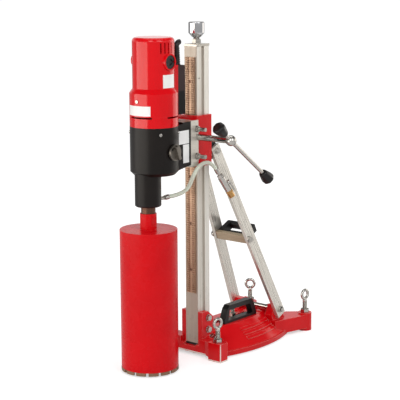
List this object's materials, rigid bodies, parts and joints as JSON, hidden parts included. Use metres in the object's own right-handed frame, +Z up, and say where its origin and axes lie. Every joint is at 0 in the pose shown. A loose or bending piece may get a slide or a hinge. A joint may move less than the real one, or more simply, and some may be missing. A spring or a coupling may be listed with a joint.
{
  "type": "core drill rig",
  "caption": "Core drill on a braced column stand: a geared motor turns a wet core bit and is fed down a rack by a cross handle, on a bolted base with levelling screws.",
  "frame": {"origin": "on the floor, under the column's axis", "axes": "+Z up along the column, -Y towards the core bit, +X towards the feed handle"},
  "size_m": [0.343, 0.7856, 1.08],
  "materials": {
    "red_casting": "gloss red paint",
    "red_shell": "gloss red",
    "red_barrel": "satin red paint",
    "black_housing": "matt black paint",
    "black_plastic": "matt",
    "black_rubber": "matt",
    "column_metal": "drawn",
    "bar_metal": "brushed",
    "rack_steel": "machined",
    "zinc_steel": "zinc plated",
    "dark_steel": "machined",
    "bright_chrome": "polished",
    "yellow_brass": "machined",
    "nylon": "matt",
    "white_plate": "satin",
    "clear_hose": "clear",
    "segment_metal": "sintered",
    "copper_winding": "varnished",
    "laminations": "varnished",
    "carbon": "matt"
  },
  "bodies": {
    "stand": {"base_casting": "red_casting", "base_handle": "black_plastic", "stand_screws": "zinc_steel", "anchor_stud": "zinc_steel", "anchor_nut": "zinc_steel", "column": "column_metal", "column_foot_plug": "black_plastic", "column_cap": "column_metal", "rack": "rack_steel", "column_clamp_bolts": "zinc_steel", "right_brace": "bar_metal", "left_brace": "bar_metal", "brace_head": "black_housing", "brace_crossbar": "bar_metal", "brace_grip": "black_plastic", "brace_pivot_rod": "zinc_steel", "brace_bolts": "zinc_steel", "leveling_lock_nuts": "zinc_steel"},
    "jack_cup": {"jack_cup": "bright_chrome"},
    "jack_screw": {"jack_screw": "zinc_steel"},
    "carriage": {"carriage": "red_casting", "guide_pads": "nylon", "motor_plate": "column_metal", "plate_clamp_bolts": "zinc_steel", "gear_housing": "black_housing", "motor_flange": "red_shell", "motor_housing": "red_shell", "motor_end_cap": "red_shell", "brush_caps": "black_plastic", "carbon_brushes": "carbon", "field_stator": "copper_winding", "switch_housing": "black_plastic", "cord_boot": "black_rubber", "blank_plates": "white_plate", "housing_screws": "zinc_steel", "bearings": "zinc_steel", "water_fitting": "yellow_brass", "water_hose": "clear_hose", "valve_body": "bright_chrome", "valve_inlet": "yellow_brass"},
    "valve_lever": {"valve_lever": "zinc_steel"},
    "spindle": {"spindle": "dark_steel", "spindle_gear": "dark_steel", "core_bit": "red_barrel", "bit_segments": "segment_metal"},
    "intermediate_gear": {"intermediate_gear": "dark_steel"},
    "armature": {"armature": "laminations"},
    "feed_shaft": {"feed_shaft": "zinc_steel"},
    "feed_bar": {"feed_bar": "zinc_steel", "feed_knobs": "black_plastic"},
    "gear_selector": {"gear_selector": "column_metal"},
    "rocker_switch": {"rocker_switch": "black_plastic"},
    "pad_front_right": {"leveling_pad_front_right": "dark_steel"},
    "screw_front_right": {"leveling_screw_front_right": "zinc_steel"},
    "pad_front_left": {"leveling_pad_front_left": "dark_steel"},
    "screw_front_left": {"leveling_screw_front_left": "zinc_steel"},
    "pad_rear_right": {"leveling_pad_rear_right": "dark_steel"},
    "screw_rear_right": {"leveling_screw_rear_right": "zinc_steel"},
    "pad_rear_left": {"leveling_pad_rear_left": "dark_steel"},
    "screw_rear_left": {"leveling_screw_rear_left": "zinc_steel"}
  },
  "joints": [
    {"name": "feed", "type": "slide", "parent": "stand", "child": "carriage", "axis": [0, 0, 1], "range_m": [-0.44, 0.2]},
    {"name": "feed_handle", "type": "hinge", "parent": "carriage", "child": "feed_shaft", "pos_m": [0, -0.0494, 0.724], "axis": [1, 0, 0], "range_deg": [-850, 1870]},
    {"name": "feed_bar_slide", "type": "slide", "parent": "feed_shaft", "child": "feed_bar", "axis": [0, 0.7986, -0.6018], "range_m": [-0.18, 0.018]},
    {"name": "armature_spin", "type": "hinge", "parent": "carriage", "child": "armature", "pos_m": [0, -0.205, 0.84], "axis": [0, 0, 1], "continuous": true},
    {"name": "intermediate_spin", "type": "hinge", "parent": "carriage", "child": "intermediate_gear", "pos_m": [-0.0334, -0.20015, 0.69], "axis": [0, 0, 1], "continuous": true},
    {"name": "spindle_spin", "type": "hinge", "parent": "carriage", "child": "spindle", "pos_m": [0, -0.236, 0.58], "axis": [0, 0, 1], "continuous": true},
    {"name": "speed_selector", "type": "hinge", "parent": "carriage", "child": "gear_selector", "pos_m": [0.0773, -0.2, 0.696], "axis": [1, 0, 0], "range_deg": [0, 90]},
    {"name": "power_switch", "type": "hinge", "parent": "carriage", "child": "rocker_switch", "pos_m": [-0.019, -0.101, 0.912], "axis": [0, 1, 0], "range_deg": [0, 14]},
    {"name": "water_valve", "type": "hinge", "parent": "carriage", "child": "valve_lever", "pos_m": [0.08254, 0.03997, 0.5642], "axis": [0.5212, 0.6916, 0.5], "range_deg": [-90, 0]},
    {"name": "jack_lift", "type": "slide", "parent": "stand", "child": "jack_cup", "axis": [0, 0, 1], "range_m": [0, 0.04]},
    {"name": "jack_turn", "type": "hinge", "parent": "jack_cup", "child": "jack_screw", "pos_m": [0, 0, 1], "axis": [0, 0, 1], "range_deg": [0, 5760]},
    {"name": "level_front_right", "type": "slide", "parent": "stand", "child": "pad_front_right", "axis": [0, 0, 1], "range_m": [-0.02, 0]},
    {"name": "turn_front_right", "type": "hinge", "parent": "pad_front_right", "child": "screw_front_right", "pos_m": [0.113, -0.036, 0.06], "axis": [0, 0, 1], "range_deg": [-3600, 0]},
    {"name": "level_front_left", "type": "slide", "parent": "stand", "child": "pad_front_left", "axis": [0, 0, 1], "range_m": [-0.02, 0]},
    {"name": "turn_front_left", "type": "hinge", "parent": "pad_front_left", "child": "screw_front_left", "pos_m": [-0.113, -0.036, 0.06], "axis": [0, 0, 1], "range_deg": [-3600, 0]},
    {"name": "level_rear_right", "type": "slide", "parent": "stand", "child": "pad_rear_right", "axis": [0, 0, 1], "range_m": [-0.02, 0]},
    {"name": "turn_rear_right", "type": "hinge", "parent": "pad_rear_right", "child": "screw_rear_right", "pos_m": [0.12, 0.435, 0.06], "axis": [0, 0, 1], "range_deg": [-3600, 0]},
    {"name": "level_rear_left", "type": "slide", "parent": "stand", "child": "pad_rear_left", "axis": [0, 0, 1], "range_m": [-0.02, 0]},
    {"name": "turn_rear_left", "type": "hinge", "parent": "pad_rear_left", "child": "screw_rear_left", "pos_m": [-0.12, 0.435, 0.06], "axis": [0, 0, 1], "range_deg": [-3600, 0]}
  ],
  "couplings": [
    {"joint": "feed_handle", "follows": "feed", "rad_per_m": -74.074},
    {"joint": "intermediate_spin", "follows": "armature_spin", "ratio": -0.2},
    {"joint": "spindle_spin", "follows": "armature_spin", "ratio": 0.072222},
    {"joint": "jack_turn", "follows": "jack_lift", "rad_per_m": 2513.3},
    {"joint": "level_front_right", "follows": "turn_front_right", "m_per_rad": 0.00031831},
    {"joint": "level_front_left", "follows": "turn_front_left", "m_per_rad": 0.00031831},
    {"joint": "level_rear_right", "follows": "turn_rear_right", "m_per_rad": 0.00031831},
    {"joint": "level_rear_left", "follows": "turn_rear_left", "m_per_rad": 0.00031831}
  ]
}
